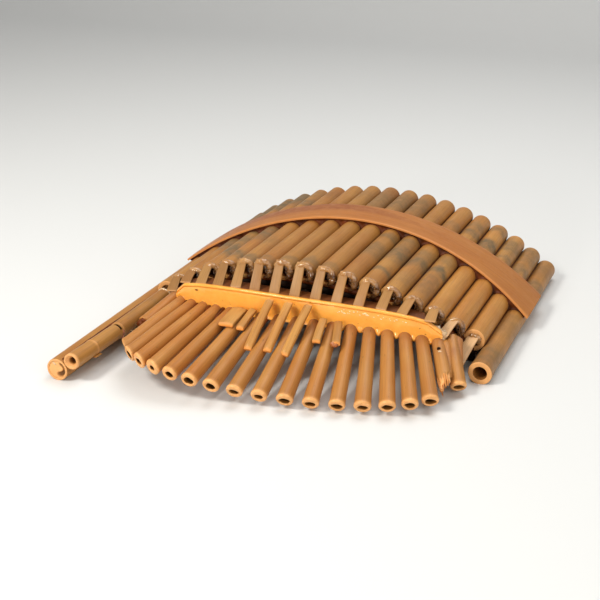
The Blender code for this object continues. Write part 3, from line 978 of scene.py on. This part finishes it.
def add_mouth_glue(number):
    """A hood of clear glue over the lip of a pipe and its tongue's top, and a drip inside."""
    count = 60
    turn = np.linspace(-92, 165, count)
    line = mouth_arc(number, turn[0], turn[-1], count, 6.0 * MM, 0.6 * MM)
    over_tongue = np.exp(-(((turn + 12) / 34) ** 2))
    line[:, 1] -= 1.2 * MM * over_tongue
    radii = (2.05 + 0.3 * over_tongue + 0.4 * cloud(line, 300, number)) * MM
    radii *= tapered(count, -5, 10)
    dirt = smooth(28, 80, turn) * (0.75 + 0.5 * cloud(line, 400, number + 5))
    dirt = np.maximum(dirt, 0.5 * cloud(line, 650, number + 15))
    strand(
        f"mouth_glue_{number:02d}", line, radii, CLEAR_GLUE,
        sides=16, bumps=0.32 * MM, seed=number, dirt=dirt[:, None],
    )
    count = 16
    line = mouth_arc(number, 62, 135, count, 4.6 * MM, 1.4 * MM)
    line[:, 1] += 0.5 * MM * cloud(line, 500, number + 20)
    fuller = 1.5 if number < 6 else 1.0
    radii = fuller * (1.1 + 0.5 * cloud(line, 600, number + 9)) * MM
    radii *= tapered(count, -1, 3)
    name = f"mouth_drip_{number:02d}"
    strand(name, line, radii, CLEAR_GLUE, bumps=0.5 * MM, seed=number + 50, dirt=0.7)


def add_mouth_fill(number, first, fuller, dirt):
    """Uneven glue that half fills a mouth beside its tongue, from this angle on."""
    count = 24
    line = mouth_arc(number, first, 150, count, 2.9 * MM, -1.0 * MM)
    radii = fuller * (2.1 + 0.5 * cloud(line, 420, number + 30)) * MM
    radii *= tapered(count, -3, 4)
    dirt = np.clip(dirt + 0.25 * cloud(line, 500, number + 40), 0, 1)
    strand(
        f"mouth_fill_{number:02d}", line, radii, CLEAR_GLUE,
        sides=14, bumps=0.6 * MM, seed=number + 70, dirt=dirt[:, None],
    )


def add_mouth_bed():
    """The brown glue under the mouths, which also stands in for the shade there, and two dark
    strands of painted shade that close the windways below it.
    """
    points = []
    for x, z, mouth, _, _ in PIPES[1:-1]:
        points.append((x, mouth + 2.4 * MM, max(z - 6.6 * MM, 3.4 * MM)))
    line = finer(points, 150)
    radii = (2.7 + 0.5 * cloud(line, 160, 6)) * MM
    # The bed is brown glue, and it also fills the shaded gap under the mouths.
    strand("mouth_bed", line, radii, BROWN_GLUE, bumps=0.4 * MM, seed=61)
    # Two strands of painted shade that close the windways.
    for at, (deeper, lower) in enumerate(((0.8, 4.6), (1.8, 9.2))):
        lower_line = line + np.array([0, deeper, -lower]) * MM
        lower_line[:, 2] = np.maximum(lower_line[:, 2], 3.8 * MM)
        radii = (3.3 + 0.4 * cloud(line, 120, 7 + at)) * MM
        name = f"windway_shade_{at + 1}"
        strand(name, lower_line, radii, PAINTED_SHADE, bumps=0.4 * MM, seed=62 + at)


add_mouth_bed()
for tongue_number in TONGUE_NUMBERS:
    add_tongue(tongue_number)
    if tongue_number != LAST_TONGUE:
        add_mouth_glue(tongue_number)
        add_mouth_fill(tongue_number, 10, 1.0, 0.65)
add_mouth_fill(LAST_TONGUE, -60, 1.35, 0.15)


# ---------------------------------------------------------------- band


def arch_circle():
    """Centre x, centre z and radius of the circle through the pipes' axes."""
    (x1, z1), (x2, z2), (x3, z3) = (PIPES[index][:2] for index in (0, PIPE_COUNT // 2, -1))
    matrix = np.array([[x2 - x1, z2 - z1], [x3 - x2, z3 - z2]]) * 2
    sums = np.array([x2**2 + z2**2 - x1**2 - z1**2, x3**2 + z3**2 - x2**2 - z2**2])
    x, z = np.linalg.solve(matrix, sums)
    return x, z, math.hypot(x1 - x, z1 - z)


ARCH_X, ARCH_Z, ARCH_RADIUS = arch_circle()


def band_edges():
    """Angles along the band, its front and back edges there, and its outer radius."""
    points = frame_points("cross_band")
    angle = np.arctan2(points[:, 0] - ARCH_X, points[:, 2] - ARCH_Z)
    radius = np.hypot(points[:, 0] - ARCH_X, points[:, 2] - ARCH_Z)
    stations = np.unique(np.round(angle, 4))
    front = [points[np.abs(angle - at) < 2e-4, 1].min() for at in stations]
    back = [points[np.abs(angle - at) < 2e-4, 1].max() for at in stations]
    return stations, np.array(front), np.array(back), radius.max()


BAND_ANGLES, BAND_FRONT, BAND_BACK, BAND_OUTER = band_edges()
BAND_PLATE = 1.7 * MM
BAND_ROWS = 170
BAND_BED_ROWS = 300


def on_arch(angle, radius, y):
    """A point at this angle from up and this distance from the arch's axis."""
    return (ARCH_X + radius * math.sin(angle), y, ARCH_Z + radius * math.cos(angle))


def band_painted_shade(angles, place, grain):
    """Painted shade along the band: a dark streak, which narrows to the right and fades there."""
    along = (angles / BAND_ANGLES[-1])[:, None]
    centre = np.interp(along, (-1, -0.2, 0.15, 0.6), (0.95, 0.85, 0.62, 0.45))
    half = np.interp(along, (-1, -0.2, 0.1, 0.6), (0.45, 0.36, 0.17, 0.04))
    drift = 0.08 * cloud(grain * np.array([1, 0.3, 1]), 60, 33)
    streak = smooth(1.25, 0.55, np.abs(place - centre + drift) / half)
    return streak * np.interp(along, (0.0, 0.6), (0.9, 0.0))


def add_band():
    """A split cane bent over the pipes: crowned above, with soft edges and square ends."""
    angles = np.linspace(BAND_ANGLES[0], BAND_ANGLES[-1], BAND_ROWS)
    fronts = np.interp(angles, BAND_ANGLES, BAND_FRONT)
    backs = np.interp(angles, BAND_ANGLES, BAND_BACK)
    under = BAND_OUTER - BAND_PLATE
    across = np.concatenate([[0.0, 0.012, 0.04], np.linspace(0.09, 0.91, 15), [0.96, 0.988, 1.0]])
    grid = []
    grain = []
    place = []
    for angle, front, back in zip(angles, fronts, backs):
        width = back - front
        ring = []
        for share in across:
            edge = min(share, 1 - share) * width
            soft = 0.45 * MM * (1 - min(edge / (0.9 * MM), 1)) ** 2
            crown = 0.45 * MM * math.sin(share * math.pi)
            ring.append((BAND_OUTER - 0.1 * MM - soft + crown, share))
        for share in across[::-1]:
            ring.append((under + 0.15 * MM * (min(share, 1 - share) < 0.02), share))
        grid.append([on_arch(angle, radius, front + width * share) for radius, share in ring])
        grain.append([(front + width * share, angle * radius, radius) for radius, share in ring])
        place.append([share for _, share in ring])
    grid, grain, place = np.array(grid), np.array(grain), np.array(place)
    grid[:, :, 1] += 0.2 * MM * cloud(grid, 70, 31)
    # stain here is painted shade along the band's dark streak.
    skin(
        "band_strip_cane", grid, BAND_STRIP, "band_cane",
        grain=grain, replaces=("cross_band",), seed=2.0,
        stain=band_painted_shade(angles, place, grain), cut=smooth(0.05, 0.02, place) * 0.6,
    )


def pipe_top(angle):
    """How far from the arch's centre the pipes' outer surface is at this angle."""
    asides = [abs(angle - math.atan2(x - ARCH_X, z - ARCH_Z)) for x, z, *_ in PIPES]
    aside = min(min(asides) * ARCH_RADIUS, PIPES[0][4])
    return ARCH_RADIUS + math.sqrt(PIPES[0][4] ** 2 - aside**2)


def add_band_bed():
    """Brown resin under the band, which fills the valleys between the pipes."""
    angles = np.linspace(BAND_ANGLES[0] + 0.004, BAND_ANGLES[-1] - 0.008, BAND_BED_ROWS)
    fronts = np.interp(angles, BAND_ANGLES, BAND_FRONT) + 1.5 * MM
    backs = np.interp(angles, BAND_ANGLES, BAND_BACK) - 1.4 * MM
    high = BAND_OUTER - BAND_PLATE + 0.3 * MM
    grid = []
    for angle, front, back in zip(angles, fronts, backs):
        low = min(pipe_top(angle) - 0.7 * MM, high - 0.3 * MM)
        ring = []
        for edge, inward, first in ((front, 1, 0), (back, -1, 1)):
            for share in np.linspace(first, 1 - first, 7):
                hollow = 0.9 * MM * math.sin(share * math.pi) - 1.2 * MM * share**2
                ring.append(on_arch(angle, high + (low - high) * share, edge + inward * hollow))
        grid.append(ring)
    grid = np.array(grid)
    grid[:, :, 1] += 0.8 * MM * cloud(grid, 260, 35)
    skin("band_bed_resin", grid, BROWN_GLUE, "cast_resin", seed=5.0)


add_band()
add_band_bed()


# ---------------------------------------------------------------- whistle


# The joint stands this far in front of the rear end of the CAD's front length, in millimetres.
JOINT_SHIFT = 5.2
# The left and right ends of the window, as angles from up, and how far in the plug stands.
WINDOW_LEFT = math.radians(354)
WINDOW_RIGHT = math.radians(62)
WHISTLE_PLUG = 16 * MM
# How far up and round the drone the seam lies from the side that faces the whistle, in radians.
SEAM_TURN = 0.54


def whistle_line():
    """The whistle's front end, the joint of its two lengths, and its rear end."""
    start, end = cane_line("whistle_mouth_tube")
    joint = end + (start - end).normalized() * JOINT_SHIFT * MM
    return start, joint, cane_line("whistle_body_tube")[1]


def add_whistle_front():
    """The whistle's front length: a funnel mouth, a node ring, and a window at its rear end, with
    painted shade in the window.
    """
    start, end, _ = whistle_line()
    length = (end - start).length
    radius = 5.7 * MM
    node = 0.45 * length
    window = length - 3.2 * MM
    sill = length - 0.9 * MM
    step = 0.05 * MM
    profile = [
        ("inside", [(WHISTLE_PLUG, 0.3 * MM), (WHISTLE_PLUG, 2.1 * MM), (3.2 * MM, 2.3 * MM)]),
        ("cut", [(2.0 * MM, 2.9 * MM), (0.7 * MM, 3.9 * MM)]),
        ("cut", rounding(0.7 * MM, radius - 0.9 * MM, 0.7 * MM, 210, 180, 2)),
        ("cut", rounding(0.8 * MM, radius - 0.8 * MM, 0.8 * MM, 170, 90, 4)),
        ("skin", [(node - 0.9 * MM, radius), (node, radius + 0.22 * MM)]),
        ("skin", [(node + 0.3 * MM, radius - 0.12 * MM), (node + 0.9 * MM, radius)]),
        ("skin", [(window, radius), (window + step, radius)]),
        ("skin", [(sill - step, radius), (sill, radius), (length, radius)]),
        ("cut", [(length, radius - 1.5 * MM), (length, 0.3 * MM)]),
    ]
    y, r, cut, inside = rings(profile, CANE_RING_SPACING)
    grid, angle = turned(y, r, PIPE_SIDES)
    roughen(grid, r, 71)
    # The window's hole takes the valley colour as painted shade.
    open_columns = (angle < WINDOW_RIGHT) | (angle > WINDOW_LEFT)
    open_rows = (y > window + step / 2) & (y < sill - step / 2) & (r > radius - MM)
    hole = (open_rows[:, None] & open_columns[None, :]).astype(float)
    widen(grid, 1 - 0.45 * hole)
    line = smooth(0.5 * MM, 0.1 * MM, np.abs(y - node - 0.35 * MM)) * (r > radius - MM)
    cut = np.maximum(cut, 0.6 * smooth(1.2 * MM, 0.2 * MM, np.abs(y - node + 0.4 * MM)))
    # inside paints shade in the bore, darker further in.
    skin(
        "whistle_front_cane", grid, PIPE_CANE, "pipe_bamboo",
        matrix=aimed(start, end), replaces=("whistle_mouth_tube",),
        cut=cut[:, None], inside=inside[:, None] * 0.7 * smooth(0, 6 * MM, y)[:, None],
        valley=np.maximum(hole * 0.9, 0.45 * line[:, None]),
        tone=0.98, seed=71.0,
    )


def add_whistle_body():
    """The whistle's rear length: a plain open cane."""
    _, start, end = whistle_line()
    length = (end - start).length
    radius = 6.0 * MM
    bore = 4.0 * MM
    soft = 0.8 * MM
    profile = [
        ("inside", [(length - 0.5 * MM, bore), (0.5 * MM, bore)]),
        ("cut", rounding(0.4 * MM, bore + 0.4 * MM, 0.4 * MM, 270, 180, 2)),
        ("cut", rounding(soft, radius - soft, soft, 180, 90, 4)),
        ("skin", [(3 * MM, radius), (length - 3 * MM, radius)]),
        ("cut", rounding(length - soft, radius - soft, soft, 90, 0, 4)),
    ]
    y, r, cut, inside = rings(profile, CANE_RING_SPACING)
    grid, _ = turned(y, r, PIPE_SIDES)
    roughen(grid, r, 72)
    grimy = smooth(0.2, 0.7, cloud(grid, 60, 14) + 0.25)
    # inside paints shade in the bore.
    skin(
        "whistle_body_cane", grid, PIPE_CANE, "pipe_bamboo",
        matrix=aimed(start, end), looped=True, replaces=("whistle_body_tube",),
        cut=0.35 * cut[:, None], inside=inside[:, None], stain=grimy * 0.3 * (1 - inside)[:, None],
        tone=0.94, seed=72.0,
    )


def bead(name, line, thick, material, seed, bumps=0.3):
    """A strand of glue through given points, which thins out towards both ends."""
    fine = finer(line, BEAD_POINTS)
    radii = thick * (0.35 + 0.65 * tapered(BEAD_POINTS, -1, 6))
    radii = radii * (1 + 0.25 * cloud(fine, 400, seed))
    strand(name, fine, radii, material, bumps=bumps * MM, seed=seed)


def add_whistle_glue():
    """Glue round the whistle's joints, the shadow in its window, and its seam on the drone: brown
    glue that also stands in for the shadow where the two canes meet.
    """
    whistle, joint, rear = whistle_line()
    line = arc((rear.x, rear.y - 0.6 * MM, rear.z), 5.5 * MM, -70, 95, 30)
    bead("whistle_rear_glue", line, 1.1 * MM, WHITE_GLUE, 81)
    line = arc((joint.x, joint.y - 0.5 * MM, joint.z), 5.5 * MM, 62, 150, 24)
    bead("whistle_joint_glue", line, 0.85 * MM, PINK_GLUE, 82, 0.4)
    # A dark bead of painted shade in the window.
    line = arc((joint.x, joint.y - 2.1 * MM, joint.z), 5.15 * MM, 0, 62, 24)
    bead("whistle_window_shade", line, 0.75 * MM, PAINTED_SHADE, 83, 0.1)
    x, z, _, _, radius = PIPES[0]
    reach = radius + 0.5 * MM
    # The seam is brown glue that also stands in for the contact shadow between drone and whistle.
    seam = []
    for y in np.linspace(-155 * MM, -30 * MM, BEAD_POINTS):
        beside = at_depth((whistle, rear), y)
        lean = math.atan2(beside.z - z, beside.x - x) + SEAM_TURN
        seam.append((x + reach * math.cos(lean), y, z + reach * math.sin(lean)))
    bead("whistle_seam_glue_and_shade", seam, 0.9 * MM, BROWN_GLUE, 84, 0.15)


def add_left_glue():
    """Brown lumps and thin clear strings of glue between the whistle and the first tubes."""
    front = TUBES[0][0]
    lump = spots([(-4, 0, -1), (-1, -1.5, 1), (2, -0.5, 3.5)], front)
    bead("first_tube_lump", lump, 3.1 * MM, BROWN_GLUE, 85, 1.0)
    strings = (
        ((-116.6, -92.0, 11.6), (-113.0, -91.5, 9.8), (-109.5, -95.0, 10.5), (-103, -101, 14.0)),
        ((-116.4, -84.0, 11.8), (-113.2, -86.0, 11.2), (-109.8, -89.0, 13.6)),
        ((-116.2, -90.0, 12.4), (-114.6, -88.0, 10.6), (-112.0, -88.2, 11.5)),
        ((-115.8, -78.0, 13.5), (-113.0, -80.5, 14.0), (-110.4, -82.0, 16.0)),
    )
    for at, points in enumerate(strings):
        bead(f"glue_string_{at + 1}", spots(points), 0.55 * MM, WHITE_GLUE, 86 + at, 0.2)
    dirt = ((-113.8, -74, 15.5), (-112.2, -66, 17.5), (-110.4, -56, 19.5), (-109.4, -45, 21.5))
    bead("whistle_side_glue", spots(dirt), 1.5 * MM, BROWN_GLUE, 91, 0.6)


def add_chip():
    """A flake of cane that stands off under the whistle's front length."""
    start, end = spots([(-117.8, -136.0, 10.2), (-117.3, -129.4, 10.6)])
    widths = (2.2 * MM, 3.0 * MM)
    thick = (0.8 * MM, 0.6 * MM)
    slab("whistle_chip", start, end, widths, thick, SPLINT_WOOD, "pipe_bamboo", seed=9)


add_whistle_front()
add_whistle_body()
add_whistle_glue()
add_left_glue()
add_chip()


# ---------------------------------------------------------------- splints and the right-hand end


# Name, start and end of the under side, width, thicknesses (all in millimetres), and tone.
SPLINTS = (
    ("long_splint_1", (-17.6, -64.2, 40.9), (-17.0, -103.9, 18.9), 5.8, (2.3, 3.7), 1.06),
    ("long_splint_2", (-3.2, -64.3, 41.0), (-3.0, -103.4, 19.9), 5.8, (2.3, 3.7), 1.12),
    ("long_splint_3", (11.4, -64.0, 41.7), (9.0, -101.9, 18.2), 5.8, (2.3, 3.7), 1.04),
    ("short_splint_1", (-41.6, -62.6, 29.2), (-40.6, -89.3, 26.6), 11.0, (2.4, 3.6), 0.96),
    ("short_splint_2", (-31.0, -63.5, 30.5), (-29.4, -90.1, 26.0), 5.4, (2.4, 3.8), 0.98),
    ("short_splint_3", (22.0, -63.4, 32.3), (26.2, -88.2, 25.0), 5.4, (2.4, 3.8), 0.9),
    ("short_splint_4", (32.4, -62.4, 31.3), (40.0, -87.2, 25.2), 5.6, (2.4, 3.8), 0.88),
)


def add_splints():
    """The thin splints over the resin bar, and a blob of glue at one's end."""
    for at, (name, start, end, width, thick, tone) in enumerate(SPLINTS):
        start, end = spots([start, end])
        thick = (thick[0] * MM, thick[1] * MM)
        ridge = (1.4 if at < 3 else 0.7) * MM
        slab(
            name, start, end, (width * MM,) * 2, thick, SPLINT_WOOD, "tongue_reed",
            bend=0.3 * MM, ridge=ridge, lumps=0.2 * MM, seed=at + 11, tone=tone,
        )
    tip = [(36.2, -87.8, 27.6), (39.0, -88.9, 27.0), (41.6, -87.6, 26.8)]
    bead("short_splint_blob", spots(tip), 1.5 * MM, ORANGE_GLUE, 95, 0.5)


SLIVER_COUNT = 9
FLAP_POINTS = 24
GLINT_COUNT = 34


def add_slivers():
    """Loose fibres at the broken tube's end, and the pit, a dark bead of painted shade, with its
    chip near its root.
    """
    start, end = TUBES[SPLINTERED_TUBE]
    place = aimed(start, end)
    for at in range(SLIVER_COUNT):
        turn = math.radians(-150 + 24 * at)
        reach = (4.3 - 1.2 * (at % 3) / 2) * MM
        tip = (-1.0 + 3.4 * abs(math.sin(2.1 * at)) + 0.35 * at) * MM
        line = []
        for y, spread in ((13 * MM, 1.0), (8 * MM, 1.06), (tip, 0.86)):
            side = Vector((math.sin(turn), 0, math.cos(turn))) * reach * spread
            line.append(place @ (side + Vector((0, y, 0))))
        fine = [line[0].lerp(line[1], share) for share in np.linspace(0, 1, 6)]
        fine += [line[1].lerp(line[2], share) for share in np.linspace(0.15, 1, 8)]
        radii = 0.75 * MM * np.sqrt(np.linspace(1, 0.02, len(fine)))
        strand(f"sliver_{at + 1}", fine, radii, SPLINT_WOOD, "tube_bamboo", sides=6, cut=0.55)
    length = (end - start).length
    # The pit is a dark bead of painted shade on the surface.
    side = Vector((-0.9 * MM, length - 18 * MM, 4.2 * MM))
    pit = [place @ (side + Vector((0, y * MM, 0))) for y in (-1.2, 0, 1.2)]
    bead("broken_tube_pit_shade", pit, 1.2 * MM, PAINTED_SHADE, 96, 0.2)
    side = Vector((-0.7 * MM, length - 21.2 * MM, 4.5 * MM))
    chip = [place @ (side + Vector((x * MM, 0, 0))) for x in (-1.2, 0, 1.3)]
    bead("broken_tube_chip", chip, 0.7 * MM, WHITE_GLUE, 97, 0.3)


def add_right_glue():
    """The whitish lump where the resin bar ends, and the flat flaps round the last tubes."""
    foot, _, _ = tongue_ends(17)
    lump = [(-5.5, 0.6, 2.4), (-2.5, -2.0, 1.6), (1.5, -3.2, 0.2), (4.5, -3.6, -2.0)]
    bead("bar_end_lump", spots(lump, foot), 2.6 * MM, WHITE_GLUE, 98, 1.0)
    drip = [(-3, -2.4, -1.0), (0.5, -4.2, -2.0), (3.5, -5.0, -4.0)]
    bead("bar_end_glue", spots(drip, foot), 1.8 * MM, WHITE_GLUE, 99, 0.8)
    root = TUBES[-1][1] + Vector((1.6, 1.0, 2.2)) * MM
    tip = at_depth(TUBES[-1], -61 * MM) + Vector((4.6, 0, 0.4)) * MM
    share = np.linspace(0, 1, FLAP_POINTS)
    line = [root.lerp(tip, at) for at in share]
    radii = (6.4 - 5.8 * share**0.8) * MM * np.sqrt(smooth(-0.02, 0.2, share))
    strand(
        "last_tube_flap", line, radii, TUBE_CANE, "tube_bamboo",
        flat=0.3, bumps=0.25 * MM, seed=17, tone=0.92, stain=0.5,
    )
    line = []
    for y in np.linspace(-44 * MM, -76 * MM, FLAP_POINTS):
        between = at_depth(TUBES[-2], y) * 0.5 + at_depth(TUBES[-1], y) * 0.5
        line.append(between + Vector((0, 0, 1.2 * MM)))
    radii = np.sqrt(smooth(-0.02, 0.2, share) * (1.03 - share)) * 4.6 * MM
    strand(
        "broken_tube_flap", line, radii, TUBE_CANE, "tube_bamboo",
        flat=0.8, bumps=0.25 * MM, seed=18, tone=0.98,
    )


RESIN_OUTLINE = outline("resin_bar", 80)


def resin_spot(name, x, ahead, down, steps, radii, material):
    """A spot in the resin's skin at this x, with its points at these steps along X."""
    xs, front, _, top, _ = RESIN_OUTLINE
    y = float(np.interp(x, xs, front)) - ahead
    z = float(np.interp(x, xs, top)) - down
    strand(name, [(x + step, y, z) for step in steps], radii, material, sides=8)


def add_resin_glints():
    """Painted highlights: tiny pale glints on the resin's skin, to the right of the middle, and
    one dark spot.
    """
    chance = np.random.default_rng(5)
    for at in range(GLINT_COUNT):
        place = float(np.clip(chance.normal(50, 15), 16, 78))
        high = float(chance.uniform(2.9, 5.6)) + 0.03 * abs(place - 50)
        size = float(chance.uniform(0.12, 0.42)) * MM * (1.5 if abs(place - 50) < 6 else 1)
        long = float(chance.uniform(1.2, 3.2))
        steps = long * np.array([-1, -0.5, 0, 0.5, 1]) * size
        radii = size * np.array([0.3, 0.85, 1.0, 0.85, 0.3])
        name = f"resin_glint_{at + 1:02d}"
        resin_spot(name, place * MM, 0.15 * MM, high * MM, steps, radii, PAINTED_GLINT)
    steps = np.array([-1.5, -0.7, 0, 0.7, 1.5]) * MM
    radii = np.array([0.2, 0.5, 0.6, 0.5, 0.2]) * MM
    resin_spot("resin_dark_spot", -80 * MM, 0.05 * MM, 4.5 * MM, steps, radii, BROWN_GLUE)


add_splints()
add_slivers()
add_resin_glints()
add_right_glue()


# ---------------------------------------------------------------- stage, lights and camera


def add_floor():
    """A plain pale floor, turned up softly far behind the object."""
    half = 2.2
    profile = [(-1.6, 0.0), (1.1, 0.0), *rounding(1.1, 0.5, 0.5, -80, 0, 8), (1.6, 2.4)]
    points = [(side * half, y, z) for y, z in profile for side in (-1, 1)]
    faces = [(2 * at, 2 * at + 1, 2 * at + 3, 2 * at + 2) for at in range(len(profile) - 1)]
    mesh = bpy.data.meshes.new("floor")
    mesh.from_pydata(points, [], faces)
    mesh.shade_smooth()
    recipe = Recipe("pale_floor")
    mesh.materials.append(recipe.finish(srgb(220, 223, 226), 0.8))
    floor = bpy.data.objects.new("floor", mesh)
    bpy.context.scene.collection.objects.link(floor)


def add_lamp(name, place, aim, size, power, colour):
    """A round soft lamp that looks at the aim, with its size in metres and its power in watts."""
    lamp = bpy.data.lights.new(name, "AREA")
    lamp.shape = "DISK"
    lamp.size = size
    lamp.energy = power
    lamp.color = colour
    thing = bpy.data.objects.new(name, lamp)
    thing.location = place
    thing.rotation_euler = (Vector(aim) - Vector(place)).to_track_quat("-Z", "Y").to_euler()
    bpy.context.scene.collection.objects.link(thing)


def add_camera():
    """The view from the player's right, with a lens that flattens the perspective."""
    lens = bpy.data.cameras.new("photo_view")
    lens.lens = 72
    lens.sensor_width = 36
    camera = bpy.data.objects.new("photo_view", lens)
    camera.location = (0.2965, -0.7703, 0.3591)
    camera.rotation_euler = (math.radians(67.647), 0, math.radians(22.463))
    bpy.context.scene.collection.objects.link(camera)
    bpy.context.scene.camera = camera


def add_world():
    """A soft warm light from all sides."""
    world = bpy.data.worlds.new("studio")
    world.use_nodes = True
    background = world.node_tree.nodes["Background"]
    background.inputs["Color"].default_value = (0.94, 0.9, 0.84, 1)
    background.inputs["Strength"].default_value = 0.4
    bpy.context.scene.world = world
    bpy.context.scene.view_settings.view_transform = "Standard"


add_floor()
add_lamp("key", (-0.55, -0.75, 0.95), (0, 0, 0.03), 0.35, 11.2, (1.0, 0.95, 0.86))
add_lamp("fill", (0.95, -0.75, 0.55), (0, 0, 0.03), 0.9, 4.6, (1.0, 0.96, 0.88))
add_lamp("top", (0.1, 0.35, 1.1), (0, 0, 0.03), 0.9, 6.3, (1.0, 0.97, 0.92))
add_lamp("glint", (-0.18, -1.0, 0.30), (0.05, 0, 0.03), 0.10, 1.9, (1.0, 0.97, 0.92))
add_camera()
add_world()
